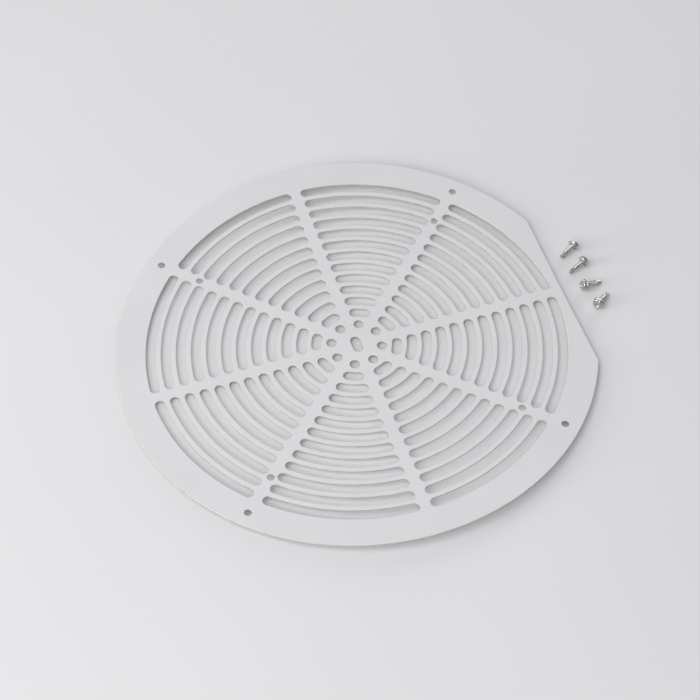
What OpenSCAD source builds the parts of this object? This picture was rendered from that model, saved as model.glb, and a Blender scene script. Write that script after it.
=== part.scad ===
// Round slotted faceplate of a ceiling air diffuser, with the four self-drilling screws that fix it.
// Everything is in millimetres, with +Z towards the room. The origin is the centre of the circle of
// rim holes, on the back of the sheet there. +X points at the flat on the rim.

/* [Plate] */
// Outside diameter of the round sheet
plate_d = 406.4; // [400:0.2:420]
// Distance from the plate's centre to the flat on its rim
flat_x = 186; // [184:0.5:195]
// Thickness of the sheet
sheet_t = 1.5; // [1:0.1:3]
// Height that the two edges farthest from the X axis stand above the middle line
bow = 7; // [2:0.5:14]
// Height of the sheet's lowest line above the table that the screws lie on
table_gap = 2; // [0:0.5:5]

/* [Slots] */
// Number of spokes, with one sector of slots between each two
spokes = 8; // [4, 8]
// Width of a spoke, which is the same all along it
spoke_w = 8.7; // [7:0.1:11]
// Number of rings of slots
rings = 12; // [6:1:12]
// Distance from one ring of slots to the next
ring_pitch = 12.7; // [11:0.1:13]
// Radius of the middle line of the outermost ring of slots
outer_slot_r = 173.8; // [173:0.2:173.8]
// Width of every slot, and diameter of the round holes inside the rings
slot_w = 8.6; // [7:0.1:10]
// Length of the single slot at the plate's centre
centre_slot_l = 16.5; // [12:0.5:20]

/* [Fixing holes] */
// Diameter of the circle that the four rim holes lie on
rim_pcd = 381; // [374:1:388]
// Diameter of the circle that the four inner holes lie on
inner_pcd = 304.8; // [298:0.1:310]
// Diameter of every fixing hole
hole_d = 6.35; // [5:0.05:7]

/* [Screws] */
// Length of a screw under its head
screw_l = 16; // [13:0.5:25]
// Outside diameter of the thread
thread_d = 4.8; // [4.2:0.1:5.4]
// Diameter of the thread's core
core_d = 3.6; // [3:0.1:4]
// Distance from one turn of the thread to the next
thread_pitch = 1.5875; // [1:0.0125:1.8]
// Length of the drill point
drill_l = 5.5; // [4:0.1:7]
// Diameter of the drill point
drill_d = 3.9; // [3.2:0.1:4.1]
// Diameter of the flange under the hexagon
flange_d = 10.3; // [9.5:0.1:12]
// Width of the hexagon across its flats
hex_af = 7.94; // [7:0.01:8.2]
// Height of the head with its flange
head_h = 3.8; // [3:0.1:5]

/* [Hidden] */

plate_r = plate_d / 2;
// Radius of the arc through both raised edges and the middle line between them
bend_r = (plate_r * plate_r + bow * bow) / (2 * bow);
// The rim holes are on the diagonals, so all four are at the same height above the middle line
rim_hole_y = rim_pcd / 2 * sin(45);
lowest_z = sqrt(bend_r * bend_r - rim_hole_y * rim_hole_y) - bend_r;
table_z = lowest_z - table_gap;
// The blank that the round plate is cut from
blank_w = plate_d + 20;
bend_angle = 2 * asin(blank_w / 2 / bend_r);
// Flat strips that the bend is made of: an odd number, so that one strip lies along the middle
bend_steps = 17;
slot_ring_r = [for (ring = [0 : rings - 1]) outer_slot_r - ring * ring_pitch];
hole_ring_r = outer_slot_r - rings * ring_pitch;
sector_angle = 360 / spokes;

flange_rim_t = 0.7;
flange_t = 1.1;
hex_corner_d = hex_af / cos(30);
indent_d = 5;
indent_depth = 0.5;
drill_cone_l = drill_d / 2 * tan(30);
flute_w = 1.5;
// The screws lie on the table, each on the rim of its flange and the end of its drill point
lie_angle = atan((flange_d - drill_d) / 2 / (screw_l - drill_cone_l));
// Under the flange: x, y, direction of the tip in degrees, and turn about the screw's own axis
screw_places = [
    [213.0, 41.7, -154, 110],
    [214.3, 21.7, -160, 15],
    [207.0, -2.9, 5, 0],
    [210.4, -24.6, 36, 10],
];

// A wedge from the centre that reaches past the rim, from one angle to another
module wedge(from, to) {
    reach = plate_d;
    middle = (from + to) / 2;
    polygon([
        [0, 0],
        [reach * cos(from), reach * sin(from)],
        [reach * cos(middle), reach * sin(middle)],
        [reach * cos(to), reach * sin(to)],
    ]);
}

// A curved slot with round ends that leaves half a spoke free on either side of the sector
module arc_slot(r, sector) {
    end_angle = asin((spoke_w + slot_w) / 2 / r);
    from = sector * sector_angle + end_angle;
    to = (sector + 1) * sector_angle - end_angle;
    intersection() {
        difference() {
            circle(r = r + slot_w / 2, $fn = 256);
            circle(r = r - slot_w / 2, $fn = 256);
        }
        wedge(from, to);
    }
    for (angle = [from, to])
        rotate(angle) translate([r, 0]) circle(d = slot_w, $fn = 32);
}

module straight_slot(length, width) {
    square([width, length - width], center = true);
    for (side = [-1, 1])
        translate([0, side * (length - width) / 2]) circle(d = width, $fn = 32);
}

module fixing_holes(pcd) {
    for (corner = [0 : 3])
        rotate(45 + 90 * corner) translate([pcd / 2, 0]) circle(d = hole_d, $fn = 32);
}

module flat_pattern() {
    difference() {
        intersection() {
            circle(r = plate_r, $fn = 360);
            translate([flat_x - blank_w, -blank_w / 2]) square([blank_w, blank_w]);
        }
        for (r = slot_ring_r, sector = [0 : spokes - 1])
            arc_slot(r, sector);
        for (sector = [0 : 7])
            rotate((sector + 0.5) * 45) translate([hole_ring_r, 0]) circle(d = slot_w, $fn = 32);
        straight_slot(centre_slot_l, slot_w);
        fixing_holes(rim_pcd);
        fixing_holes(inner_pcd);
    }
}

// A point of the bent sheet's cross-section, at an angle from its lowest line
function bend_point(r, angle) = [r * sin(angle), lowest_z + bend_r - r * cos(angle)];

// A sheet bent about a line parallel to the X axis, lowest along the middle, in narrow flat strips
module bent_sheet() {
    angles = [for (step = [0 : bend_steps]) (step / bend_steps - 0.5) * bend_angle];
    back = [for (angle = angles) bend_point(bend_r, angle)];
    front = [for (angle = angles) bend_point(bend_r - sheet_t, -angle)];
    translate([-blank_w / 2, 0, 0])
        rotate([90, 0, 90]) linear_extrude(blank_w) polygon(concat(back, front));
}

module faceplate() {
    color("whitesmoke") intersection() {
        bent_sheet();
        translate([0, 0, lowest_z - sheet_t]) linear_extrude(2 * bow + 2 * sheet_t) flat_pattern();
    }
}

// The shank as a profile to turn about the Z axis: threads as rings, then the drill point
module shank() {
    threaded_l = screw_l - drill_l;
    turns = floor(threaded_l / thread_pitch);
    crest = [for (turn = [0 : turns - 1]) -(turn + 0.5) * thread_pitch];
    rotate_extrude($fn = 48) polygon([
        [0, 0],
        [core_d / 2, 0],
        for (z = crest) each [
            [core_d / 2, z + thread_pitch * 0.35],
            [thread_d / 2, z],
            [core_d / 2, z - thread_pitch * 0.35],
        ],
        [core_d / 2, -threaded_l],
        [drill_d / 2, -threaded_l],
        [drill_d / 2, drill_cone_l - screw_l],
        [0, -screw_l],
    ]);
}

module head() {
    rotate_extrude($fn = 64) polygon([
        [0, 0],
        [flange_d / 2, 0],
        [flange_d / 2, flange_rim_t],
        [hex_corner_d / 2, flange_t],
        [0, flange_t],
    ]);
    difference() {
        cylinder(d = hex_corner_d, h = head_h, $fn = 6);
        translate([0, 0, head_h - indent_depth])
            cylinder(d1 = indent_d - 2 * indent_depth, d2 = indent_d, h = indent_depth, $fn = 48);
    }
}

// The screw on its own axis, with the underside of its flange at z = 0 and its tip at -screw_l
module screw() {
    difference() {
        union() {
            shank();
            head();
        }
        for (side = [0, 180])
            rotate(side) translate([0, drill_d / 8, -screw_l - 1])
                cube([drill_d, flute_w, drill_l]);
    }
}

// A screw lying on the table, at one of the places in screw_places
module lying_screw(number) {
    place = screw_places[number - 1];
    color("silver")
        translate([place.x, place.y, table_z + flange_d / 2 * cos(lie_angle)])
            rotate([0, lie_angle - 90, place[2]]) rotate(place[3])
                screw();
}

faceplate();
lying_screw(1);  // screw_1
lying_screw(2);  // screw_2
lying_screw(3);  // screw_3
lying_screw(4);  // screw_4
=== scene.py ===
import math

import bmesh
import bpy
from mathutils import Matrix, Vector
from mathutils.geometry import delaunay_2d_cdt


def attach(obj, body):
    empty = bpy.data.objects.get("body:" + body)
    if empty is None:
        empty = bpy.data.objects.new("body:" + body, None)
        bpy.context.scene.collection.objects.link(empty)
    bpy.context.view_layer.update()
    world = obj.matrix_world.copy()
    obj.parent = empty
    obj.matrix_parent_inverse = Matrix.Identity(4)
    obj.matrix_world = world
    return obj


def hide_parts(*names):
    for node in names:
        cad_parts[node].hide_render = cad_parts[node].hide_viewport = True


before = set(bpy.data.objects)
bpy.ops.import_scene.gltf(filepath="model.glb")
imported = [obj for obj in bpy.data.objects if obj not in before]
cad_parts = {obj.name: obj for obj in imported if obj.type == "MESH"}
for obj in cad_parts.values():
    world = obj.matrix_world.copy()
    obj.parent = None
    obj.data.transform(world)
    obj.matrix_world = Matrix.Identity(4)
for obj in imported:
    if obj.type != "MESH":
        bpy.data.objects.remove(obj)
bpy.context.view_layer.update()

# Sizes are in millimetres, as in the CAD model, and become metres when a mesh is made.
MM = 0.001

PLATE_R = 203.2
FLAT_X = 186
FLAT_CORNER_R = 1.5
SHEET_T = 1.5
BOW = 7
SPOKES = 8
SPOKE_W = 8.7
RINGS = 12
RING_PITCH = 12.7
OUTER_SLOT_R = 173.8
SLOT_W = 8.6
CENTRE_SLOT_L = 16.5
RIM_HOLES_R = 190.5
INNER_HOLES_R = 152.4
FIXING_HOLE_D = 6.35

# Height of the sheet's lowest line above the table that the screws lie on
TABLE_GAP = 2

BEND_R = (PLATE_R**2 + BOW**2) / (2 * BOW)
LOWEST_Z = math.sqrt(BEND_R**2 - (RIM_HOLES_R * math.sin(math.pi / 4)) ** 2) - BEND_R
TABLE_Z = LOWEST_Z - TABLE_GAP
SECTOR = 2 * math.pi / SPOKES

# Punching and paint round the edges of every opening: more on the front than on the back
FRONT_EDGE_R = 0.35
BACK_EDGE_R = 0.25
EDGE_STEPS = 3
FLAT_BORDER = 0.15

# How many pieces each stretch of an outline is made of
RIM_STEPS = 312
FLAT_STEPS = 24
SLOT_END_STEPS = 12
HOLE_STEPS = 28
DEGREES_PER_SLOT_STEP = 1.5

# Circles of spare points in the wide rim, and how far they keep from the flat and the holes
SPARE_RADII = (184, 190.5, 197)
SPARE_POINTS = 180
CLEAR_OF_FLAT = 2
CLEAR_OF_HOLE = 6

SCREW_L = 16
THREAD_D = 4.8
CORE_D = 3.6
THREAD_PITCH = 25.4 / 16
DRILL_L = 5.5
DRILL_D = 3.9
FLANGE_D = 10.3
HEX_AF = 7.94
HEAD_H = 3.8
DRILL_CONE_L = DRILL_D / 2 * math.tan(math.radians(30))
LIE_ANGLE = math.atan((FLANGE_D - DRILL_D) / 2 / (SCREW_L - DRILL_CONE_L))
# Under each flange: x, y, direction of the tip and turn about the screw's own axis, in degrees
SCREW_PLACES = [
    (213.0, 41.7, -154, 110),
    (214.3, 21.7, -160, 15),
    (207.0, -2.9, 5, 0),
    (210.4, -24.6, 36, 10),
]


# ---------------------------------------------------------------- outlines of the plate

def arc(centre, radius, start, end, steps):
    """Points from one angle to another, without the last one."""
    angles = [start + (end - start) * i / steps for i in range(steps)]
    return [(centre[0] + radius * math.cos(a), centre[1] + radius * math.sin(a)) for a in angles]


def curved_slot(ring_r, middle, grow):
    """A slot with round ends along a ring. grow widens it by that much on every side."""
    half = SECTOR / 2 - math.asin((SPOKE_W + SLOT_W) / 2 / ring_r)
    cap_r = SLOT_W / 2 + grow
    steps = max(4, round(math.degrees(2 * half) / DEGREES_PER_SLOT_STEP))
    start, end = middle - half, middle + half
    first = (ring_r * math.cos(start), ring_r * math.sin(start))
    last = (ring_r * math.cos(end), ring_r * math.sin(end))
    return (
        arc((0, 0), ring_r + cap_r, start, end, steps)
        + arc(last, cap_r, end, end + math.pi, SLOT_END_STEPS)
        + arc((0, 0), ring_r - cap_r, end, start, steps)
        + arc(first, cap_r, start + math.pi, start + 2 * math.pi, SLOT_END_STEPS)
    )


def straight_slot(length, width, grow):
    reach = (length - width) / 2
    radius = width / 2 + grow
    return (
        arc((0, reach), radius, 0, math.pi, HOLE_STEPS // 2)
        + [(-radius, reach)]
        + arc((0, -reach), radius, math.pi, 2 * math.pi, HOLE_STEPS // 2)
        + [(radius, -reach)]
    )


def round_hole(distance, angle, radius, grow):
    centre = (distance * math.cos(angle), distance * math.sin(angle))
    return arc(centre, radius + grow, 0, 2 * math.pi, HOLE_STEPS)


def rim(grow):
    """The plate's outside edge: a circle with one flat, its two corners slightly rounded."""
    corner = math.acos((FLAT_X - FLAT_CORNER_R) / (PLATE_R - FLAT_CORNER_R))
    reach = PLATE_R - FLAT_CORNER_R
    upper = (reach * math.cos(corner), reach * math.sin(corner))
    lower = (upper[0], -upper[1])
    corner_r = FLAT_CORNER_R - grow
    flat = [
        (FLAT_X - grow, lower[1] + (upper[1] - lower[1]) * i / FLAT_STEPS)
        for i in range(FLAT_STEPS)
    ]
    return (
        arc((0, 0), PLATE_R - grow, corner, 2 * math.pi - corner, RIM_STEPS)
        + arc(lower, corner_r, -corner, 0, 4)
        + flat
        + arc(upper, corner_r, 0, corner, 4)
    )


def all_outlines():
    """One function for each closed outline, which takes how far the edge moves into the metal."""
    outlines = [rim]
    for sector in range(SPOKES):
        middle = (sector + 0.5) * SECTOR
        for ring in range(RINGS):
            ring_r = OUTER_SLOT_R - ring * RING_PITCH
            outlines.append(lambda grow, r=ring_r, a=middle: curved_slot(r, a, grow))
        hole_ring_r = OUTER_SLOT_R - RINGS * RING_PITCH
        outlines.append(lambda grow, r=hole_ring_r, a=middle: round_hole(r, a, SLOT_W / 2, grow))
    for corner in range(4):
        angle = math.radians(45 + 90 * corner)
        for distance in (RIM_HOLES_R, INNER_HOLES_R):
            outlines.append(
                lambda grow, r=distance, a=angle: round_hole(r, a, FIXING_HOLE_D / 2, grow)
            )
    outlines.append(lambda grow: straight_slot(CENTRE_SLOT_L, SLOT_W, grow))
    return outlines


def edge_profile():
    """The sheet's edge from the front face to the back: (how far into the metal, height)."""
    turns = [math.radians(90 * i / EDGE_STEPS) for i in range(EDGE_STEPS + 1)]
    front = [
        (FRONT_EDGE_R * (1 - math.sin(a)), SHEET_T - FRONT_EDGE_R * (1 - math.cos(a)))
        for a in turns
    ]
    back = [(BACK_EDGE_R * (1 - math.cos(a)), BACK_EDGE_R * (1 - math.sin(a))) for a in turns]
    return (
        [(FRONT_EDGE_R + FLAT_BORDER, SHEET_T)] + front + back + [(BACK_EDGE_R + FLAT_BORDER, 0)]
    )


def bent(x, y, height):
    """A point of the flat sheet, bent about a line parallel to the X axis, in metres."""
    z = LOWEST_Z + BEND_R - math.sqrt((BEND_R - height) ** 2 - y**2)
    return Vector((x, y, z)) * MM


def fill_face(bm, loops, height, front):
    """Triangles between the rim, which is the first loop, and the openings, which are the others.
    Spare points in the rim keep them short."""
    points, edges, corners, loop_of = [], [], [], []
    for number, loop in enumerate(loops):
        first = len(points)
        for vert in loop:
            points.append(Vector((vert.co.x / MM, vert.co.y / MM)))
            corners.append(vert)
            loop_of.append(number)
        edges += [(first + i, first + (i + 1) % len(loop)) for i in range(len(loop))]
    holes = [Vector(round_hole(RIM_HOLES_R, math.radians(45 + 90 * i), 0, 0)[0]) for i in range(4)]
    for radius in SPARE_RADII:
        for point in map(Vector, arc((0, 0), radius, 0, 2 * math.pi, SPARE_POINTS)):
            nearest_hole = min((point - hole).length for hole in holes)
            if point.x < FLAT_X - CLEAR_OF_FLAT and nearest_hole > CLEAR_OF_HOLE:
                points.append(point)
                corners.append(bm.verts.new(bent(*point, height)))
                loop_of.append(0)
    _, _, triangles, sources, _, _ = delaunay_2d_cdt(points, edges, [], 1, 1e-5)
    for triangle in triangles:
        indexes = [sources[i][0] for i in triangle]
        if loop_of[indexes[0]] > 0 and len({loop_of[i] for i in indexes}) == 1:
            continue  # all three corners are on one opening, so this triangle would close it
        verts = [corners[i] for i in indexes]
        bm.faces.new(verts if front else reversed(verts))


def make_faceplate():
    bm = bmesh.new()
    profile = edge_profile()
    front_loops, back_loops = [], []
    for outline in all_outlines():
        rows = []
        for into_metal, height in profile:
            rows.append([bm.verts.new(bent(x, y, height)) for x, y in outline(into_metal)])
        for upper, lower in zip(rows, rows[1:]):
            for i in range(len(upper)):
                after = (i + 1) % len(upper)
                bm.faces.new((upper[i], lower[i], lower[after], upper[after]))
        front_loops.append(rows[0])
        back_loops.append(rows[-1])
    fill_face(bm, front_loops, SHEET_T, True)
    fill_face(bm, back_loops, 0, False)
    bmesh.ops.recalc_face_normals(bm, faces=bm.faces)
    return add_mesh("faceplate_sheet", bm)


def add_mesh(name, bm):
    mesh = bpy.data.meshes.new(name)
    bm.to_mesh(mesh)
    bm.free()
    mesh.shade_smooth()
    piece = bpy.data.objects.new(name, mesh)
    bpy.context.scene.collection.objects.link(piece)
    return piece


# ---------------------------------------------------------------- a screw on its own axis

AROUND = 72

# The head: the dish in its top, its rounded corners, and the flange under the hexagon
DISH_R = 2.7
DISH_DEPTH = 0.55
CORNER_CUT = 0.12
UNCHAMFERED = 9
FLANGE_TOP = 1.15
FLANGE_EDGE_R = 0.35

# The drill point: angles in degrees, lengths in millimetres
POINT_ANGLE = 31
FLUTE_TWIST = 9
FLUTE_HALF_ANGLE = 44
FLUTE_DEPTH = 0.66
FLUTE_FADE = 1.6

# The thread: how deep its foot is sunk in the core, half the width of its foot, and its blunt crest
THREAD_SUNK = 0.25
THREAD_FOOT = 0.34
CREST_FLAT = 0.05
CREST_DROP = 0.04
STEPS_PER_TURN = 40


def hexagon(angle, across_flats):
    """Radius of a hexagon in a direction, with its corners slightly rounded."""
    to_flat = (angle + math.pi / 6) % (math.pi / 3) - math.pi / 6
    sharp = across_flats / 2 / math.cos(to_flat)
    corner = across_flats / 2 / math.cos(math.pi / 6)
    return min(sharp, corner - CORNER_CUT)


def head_rows():
    """Rows of the head, each (z, radius by angle), from the middle of its top to the shank."""
    def disc(radius):
        return lambda angle: radius

    def hexed(chamfer_r, across_flats=HEX_AF):
        return lambda angle: min(hexagon(angle, across_flats), chamfer_r)

    rows = []
    for i in range(1, 9):
        share = i / 8
        rows.append((HEAD_H - DISH_DEPTH * (1 - share**3), disc(DISH_R * share)))
    rows.append((HEAD_H, disc(DISH_R + 0.15)))
    chamfer = [(HEX_AF / 2 - 0.25 + 0.16 * i, HEAD_H - 0.07 * i * (1 + i / 6)) for i in range(8)]
    rows += [(z, hexed(radius)) for radius, z in chamfer]
    for z in (2.6, 2.0, 1.6, FLANGE_TOP + 0.2):
        rows.append((z, hexed(UNCHAMFERED)))
    rows.append((FLANGE_TOP + 0.05, hexed(UNCHAMFERED, HEX_AF + 0.15)))
    rows.append((FLANGE_TOP, hexed(UNCHAMFERED, HEX_AF + 0.35)))
    rim_r = FLANGE_D / 2
    rows.append((0.95, disc(rim_r - 0.3)))
    for degrees in (60, 30, 0, -30, -60, -90):
        a = math.radians(degrees)
        rows.append((0.4 + 0.4 * math.sin(a), disc(rim_r - FLANGE_EDGE_R + FLANGE_EDGE_R * math.cos(a))))
    rows.append((0.05, disc(rim_r - 1.2)))
    rows.append((0.12, disc(THREAD_D / 2)))
    rows.append((0.0, disc(CORE_D / 2 + 0.35)))
    rows.append((-0.3, disc(CORE_D / 2)))
    return rows


def drill_radius(z, angle):
    """The drill point: two flutes that fade out towards the thread, and a blunt cone at the tip."""
    from_tip = SCREW_L + z
    body = min(DRILL_D / 2, from_tip / math.tan(math.radians(POINT_ANGLE)) + 0.05)
    twist = from_tip * math.radians(FLUTE_TWIST)
    across = abs((angle - twist) % math.pi - math.pi / 2)
    width = math.radians(FLUTE_HALF_ANGLE)
    depth = max(0.0, min(1.0, (DRILL_L - 0.4 - from_tip) / FLUTE_FADE))
    if across < width:
        body *= 1 - FLUTE_DEPTH * depth * math.cos(across / width * math.pi / 2) ** 0.6
    return body


def shank_rows():
    rows = [(z, lambda angle: CORE_D / 2) for z in (-1, -4, -8, -(SCREW_L - DRILL_L) + 0.5)]
    rows.append((-(SCREW_L - DRILL_L), lambda angle: DRILL_D / 2))
    steps = 26
    for i in range(1, steps + 1):
        share = i / steps
        z = -(SCREW_L - DRILL_L) - (DRILL_L - 0.04) * (1 - (1 - share) ** 1.3)
        rows.append((z, lambda angle, z=z: drill_radius(z, angle)))
    return rows


def loft(bm, rows):
    """A closed surface around the Z axis through rows of (z, radius by angle)."""
    angles = [2 * math.pi * i / AROUND for i in range(AROUND)]
    loops = []
    for z, radius in rows:
        loops.append([
            bm.verts.new(Vector((radius(a) * math.cos(a), radius(a) * math.sin(a), z)) * MM)
            for a in angles
        ])
    for upper, lower in zip(loops, loops[1:]):
        for i in range(AROUND):
            after = (i + 1) % AROUND
            bm.faces.new((upper[i], lower[i], lower[after], upper[after]))
    for loop, z, upwards in ((loops[0], rows[0][0], True), (loops[-1], rows[-1][0], False)):
        middle = bm.verts.new(Vector((0, 0, z)) * MM)
        for i in range(AROUND):
            triangle = (loop[i], loop[(i + 1) % AROUND], middle)
            bm.faces.new(triangle if upwards else triangle[::-1])


def thread(bm):
    """A ridge wound around the core, which rises from it and sinks back at its two ends."""
    top, bottom = -0.6, -(SCREW_L - DRILL_L) - 0.4
    turns = (top - bottom) / THREAD_PITCH
    steps = round(turns * STEPS_PER_TURN)
    sunk = CORE_D / 2 - THREAD_SUNK
    sections = []
    for i in range(steps + 1):
        turn = turns * i / steps
        angle = -2 * math.pi * turn
        z = top - THREAD_PITCH * turn
        rise = min(1, turn / 0.5, (turns - turn) / 0.6)
        crest = sunk + (THREAD_D / 2 - sunk) * max(0.05, rise)
        ridge = [
            (sunk, THREAD_FOOT * THREAD_PITCH),
            (crest - CREST_DROP, CREST_FLAT * THREAD_PITCH),
            (crest, 0),
            (crest - CREST_DROP, -CREST_FLAT * THREAD_PITCH),
            (sunk, -THREAD_FOOT * THREAD_PITCH),
        ]
        sections.append([
            bm.verts.new(Vector((r * math.cos(angle), r * math.sin(angle), z + dz)) * MM)
            for r, dz in ridge
        ])
    for this, following in zip(sections, sections[1:]):
        for i in range(len(this)):
            after = (i + 1) % len(this)
            bm.faces.new((this[i], this[after], following[after], following[i]))
    bm.faces.new(sections[0][::-1])
    bm.faces.new(sections[-1])


def make_screw(number):
    bm = bmesh.new()
    loft(bm, head_rows() + shank_rows())
    thread(bm)
    bmesh.ops.recalc_face_normals(bm, faces=bm.faces)
    screw = add_mesh(f"screw_{number}_steel", bm)
    screw.data.set_sharp_from_angle(angle=math.radians(35))
    x, y, direction, spin = SCREW_PLACES[number - 1]
    lift = FLANGE_D / 2 * math.cos(LIE_ANGLE)
    screw.data.transform(
        Matrix.Translation(Vector((x, y, TABLE_Z + lift)) * MM)
        @ Matrix.Rotation(math.radians(direction), 4, "Z")
        @ Matrix.Rotation(LIE_ANGLE - math.pi / 2, 4, "Y")
        @ Matrix.Rotation(math.radians(spin), 4, "Z")
    )
    return screw


# ---------------------------------------------------------------- materials

class Nodes:
    """A material's node tree, with short calls to add and join nodes."""

    def __init__(self, name):
        self.material = bpy.data.materials.new(name)
        self.material.use_nodes = True
        self.tree = self.material.node_tree
        self.shader = self.tree.nodes["Principled BSDF"]
        self.place = self.add("ShaderNodeTexCoord").outputs["Object"]

    def add(self, kind, **settings):
        node = self.tree.nodes.new(kind)
        for key, value in settings.items():
            setattr(node, key, value)
        return node

    def join(self, source, target):
        self.tree.links.new(source, target)

    def noise(self, scale, detail):
        """Noise with features about 1 / scale metres across."""
        noise = self.add("ShaderNodeTexNoise")
        noise.inputs["Scale"].default_value = scale
        noise.inputs["Detail"].default_value = detail
        self.join(self.place, noise.inputs["Vector"])
        return noise.outputs["Fac"]

    def ramp(self, value, low, high, start=0.0, end=1.0):
        """A colour that goes from low to high as value goes from start to end."""
        ramp = self.add("ShaderNodeValToRGB")
        ramp.color_ramp.elements[0].position = start
        ramp.color_ramp.elements[1].position = end
        ramp.color_ramp.elements[0].color = (*low, 1)
        ramp.color_ramp.elements[1].color = (*high, 1)
        self.join(value, ramp.inputs["Fac"])
        return ramp.outputs["Color"]

    def between(self, value, low, high, start=0.3, end=0.7):
        """A number that goes from low to high as value goes from start to end."""
        node = self.add("ShaderNodeMapRange")
        node.inputs["From Min"].default_value = start
        node.inputs["From Max"].default_value = end
        node.inputs["To Min"].default_value = low
        node.inputs["To Max"].default_value = high
        self.join(value, node.inputs["Value"])
        return node.outputs["Result"]

    def mix(self, share, first, second):
        """A colour that is the first one where share is 0 and the second one where it is 1."""
        node = self.add("ShaderNodeMix", data_type="RGBA")
        inputs = [socket for socket in node.inputs if socket.enabled]
        for source, socket in zip((share, first, second), inputs):
            self.join(source, socket)
        return next(socket for socket in node.outputs if socket.enabled)

    def levelness(self):
        """How level the surface is: 1 on the sheet's front and back, and 0 on its cut edges."""
        split = self.add("ShaderNodeSeparateXYZ")
        self.join(self.add("ShaderNodeTexCoord").outputs["Normal"], split.inputs["Vector"])
        size = self.add("ShaderNodeMath", operation="ABSOLUTE")
        self.join(split.outputs["Z"], size.inputs[0])
        return size.outputs["Value"]

    def bump(self, value, distance, below=None):
        node = self.add("ShaderNodeBump")
        node.inputs["Strength"].default_value = 1
        node.inputs["Distance"].default_value = distance
        self.join(value, node.inputs["Height"])
        if below is not None:
            self.join(below, node.inputs["Normal"])
        return node.outputs["Normal"]


def powder_coat():
    nodes = Nodes("white_powder_coat")
    shader = nodes.shader
    white = nodes.ramp(nodes.noise(14, 3), (0.74, 0.74, 0.76), (0.77, 0.77, 0.785), 0.3, 0.7)
    # Painted shade: the cut edges are darker than the faces because shade is painted into their colour,
    # and they are a little warmer in tone
    edge_tone_and_shade = nodes.ramp(nodes.noise(120, 3), (0.52, 0.505, 0.48), (0.66, 0.645, 0.62), 0.3, 0.7)
    # Where the surface is not level, the colour with painted edge shade takes over from the white
    level = nodes.between(nodes.levelness(), 0, 1, 0.6, 0.95)
    nodes.join(nodes.mix(level, edge_tone_and_shade, white), shader.inputs["Base Color"])
    nodes.join(nodes.between(nodes.noise(60, 3), 0.38, 0.5), shader.inputs["Roughness"])
    peel = nodes.bump(nodes.noise(700, 1.5), 0.00002)
    nodes.join(nodes.bump(nodes.noise(40, 2), 0.00006, peel), shader.inputs["Normal"])
    shader.inputs["Specular IOR Level"].default_value = 0.5
    return nodes.material


def zinc_plating():
    nodes = Nodes("zinc_plated_steel")
    shader = nodes.shader
    patches = nodes.noise(900, 3)
    grey = nodes.ramp(patches, (0.42, 0.42, 0.42), (0.68, 0.68, 0.67), 0.35, 0.65)
    nodes.join(grey, shader.inputs["Base Color"])
    nodes.join(nodes.between(nodes.noise(2500, 2), 0.16, 0.34), shader.inputs["Roughness"])
    nodes.join(nodes.bump(nodes.noise(1500, 2), 0.00002), shader.inputs["Normal"])
    shader.inputs["Metallic"].default_value = 1
    return nodes.material


def paper():
    nodes = Nodes("paper_floor")
    shader = nodes.shader
    pale = nodes.ramp(nodes.noise(3, 2), (0.80, 0.793, 0.805), (0.82, 0.813, 0.825), 0.3, 0.7)
    nodes.join(pale, shader.inputs["Base Color"])
    shader.inputs["Roughness"].default_value = 1
    shader.inputs["Specular IOR Level"].default_value = 0
    return nodes.material


# ---------------------------------------------------------------- stage

FLOOR_SIZE = 12


def make_floor():
    bpy.ops.mesh.primitive_plane_add(size=FLOOR_SIZE, location=(0, 0, TABLE_Z * MM))
    floor = bpy.context.object
    floor.name = "floor"
    floor.data.materials.append(paper())


# The camera's place and the point it looks at, in metres, and its turn about its own axis in degrees
CAMERA_PLACE = Vector((-0.29795, -0.94528, 1.27442))
CAMERA_TARGET = Vector((-0.0078, -0.0054, 0))
CAMERA_ROLL = -1.18
CAMERA_LENS = 98.4


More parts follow.
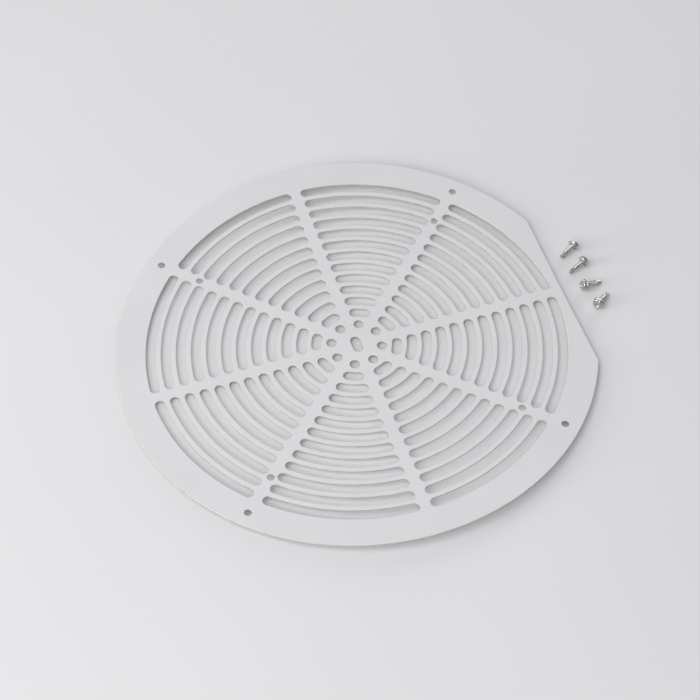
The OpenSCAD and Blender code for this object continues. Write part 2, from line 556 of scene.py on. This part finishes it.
def make_camera():
    data = bpy.data.cameras.new("camera")
    data.sensor_width = 36
    data.lens = CAMERA_LENS
    data.clip_end = 50
    camera = bpy.data.objects.new("camera", data)
    bpy.context.scene.collection.objects.link(camera)
    turn = (CAMERA_TARGET - CAMERA_PLACE).to_track_quat("-Z", "Y").to_matrix().to_4x4()
    roll = Matrix.Rotation(math.radians(CAMERA_ROLL), 4, "Z")
    camera.matrix_world = Matrix.Translation(CAMERA_PLACE) @ turn @ roll
    bpy.context.scene.camera = camera


# Soft round lights around the plate: azimuth and elevation in degrees, and power in watts
SOFT_LIGHTS = [
    (45, 12, 16.5),
    (90, 35, 5.5),
    (180, 12, 26),
    (180, 35, 5),
    (180, 62, 11),
    (225, 35, 14.5),
    (270, 62, 7.5),
]
LIGHT_DISTANCE = 2.5
LIGHT_D = 1.3
LIGHT_COLOR = (1, 0.985, 0.975)
WORLD_COLOR = (0.93, 0.96, 1, 1)
WORLD_STRENGTH = 0.31


def soft_light(azimuth, elevation, watts):
    data = bpy.data.lights.new(f"softbox_{azimuth}_{elevation}", "AREA")
    data.shape = "DISK"
    data.size = LIGHT_D
    data.energy = watts
    data.color = LIGHT_COLOR
    light = bpy.data.objects.new(data.name, data)
    bpy.context.scene.collection.objects.link(light)
    light.visible_camera = False
    around, up = math.radians(azimuth), math.radians(elevation)
    place = LIGHT_DISTANCE * Vector((
        math.cos(around) * math.cos(up),
        math.sin(around) * math.cos(up),
        math.sin(up),
    ))
    turn = (-place).to_track_quat("-Z", "Y").to_matrix().to_4x4()
    light.matrix_world = Matrix.Translation(place) @ turn


def make_lights():
    for azimuth, elevation, watts in SOFT_LIGHTS:
        soft_light(azimuth, elevation, watts)
    world = bpy.data.worlds.new("studio")
    world.use_nodes = True
    background = world.node_tree.nodes["Background"]
    background.inputs["Color"].default_value = WORLD_COLOR
    background.inputs["Strength"].default_value = WORLD_STRENGTH
    bpy.context.scene.world = world
    bpy.context.scene.view_settings.view_transform = "Standard"


# ---------------------------------------------------------------- the whole scene

make_camera()
make_floor()
make_lights()

plate = make_faceplate()
plate.data.materials.append(powder_coat())
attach(plate, "plate")
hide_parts("faceplate")

zinc = zinc_plating()
for number in range(1, len(SCREW_PLACES) + 1):
    screw = make_screw(number)
    screw.data.materials.append(zinc)
    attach(screw, f"screw_{number}")
    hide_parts(f"screw_{number}")
